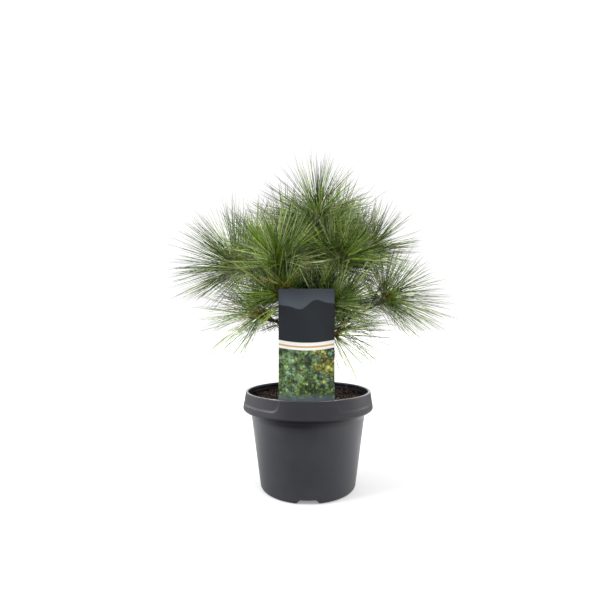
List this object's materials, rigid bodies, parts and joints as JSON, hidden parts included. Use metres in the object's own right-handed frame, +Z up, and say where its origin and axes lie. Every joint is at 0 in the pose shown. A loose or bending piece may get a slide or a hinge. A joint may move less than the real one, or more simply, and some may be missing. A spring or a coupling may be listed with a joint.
{
  "type": "potted radiata eastern white pine",
  "caption": "Young rounded dwarf white pine with soft blue-green needle tufts, in a black nursery pot with soil and an upright blank plant card.",
  "frame": {"origin": "centre of the pot's flat underside, on the floor", "axes": "+Z up along the pot's axis; the front with the plant card faces -Y; +X is to the right as seen from the front"},
  "size_m": [0.4044, 0.3452, 0.4925],
  "materials": {
    "pot_plastic": "satin",
    "soil_mix": "matte",
    "card_plastic": "satin",
    "bark": "matte",
    "twig_bark": "matte",
    "needles": "satin"
  },
  "bodies": {
    "root": {"pot": "pot_plastic", "soil": "soil_mix", "label_card": "card_plastic", "trunk": "bark", "bough_high_1": "twig_bark", "bough_high_2": "twig_bark", "bough_high_3": "twig_bark", "bough_high_4": "twig_bark", "bough_high_5": "twig_bark", "bough_low_1": "twig_bark", "bough_low_2": "twig_bark", "bough_low_3": "twig_bark", "bough_low_4": "twig_bark", "bough_low_5": "twig_bark", "bough_middle_1": "twig_bark", "bough_middle_2": "twig_bark", "bough_middle_3": "twig_bark", "bough_middle_4": "twig_bark", "bough_middle_5": "twig_bark", "bough_middle_6": "twig_bark", "needles_high_1": "needles", "needles_high_2": "needles", "needles_high_3": "needles", "needles_high_4": "needles", "needles_high_5": "needles", "needles_leader": "needles", "needles_low_1": "needles", "needles_low_2": "needles", "needles_low_3": "needles", "needles_low_4": "needles", "needles_low_5": "needles", "needles_middle_1": "needles", "needles_middle_2": "needles", "needles_middle_3": "needles", "needles_middle_4": "needles", "needles_middle_5": "needles", "needles_middle_6": "needles", "needles_upper_1": "needles", "needles_upper_2": "needles", "needles_upper_3": "needles"}
  },
  "joints": []
}
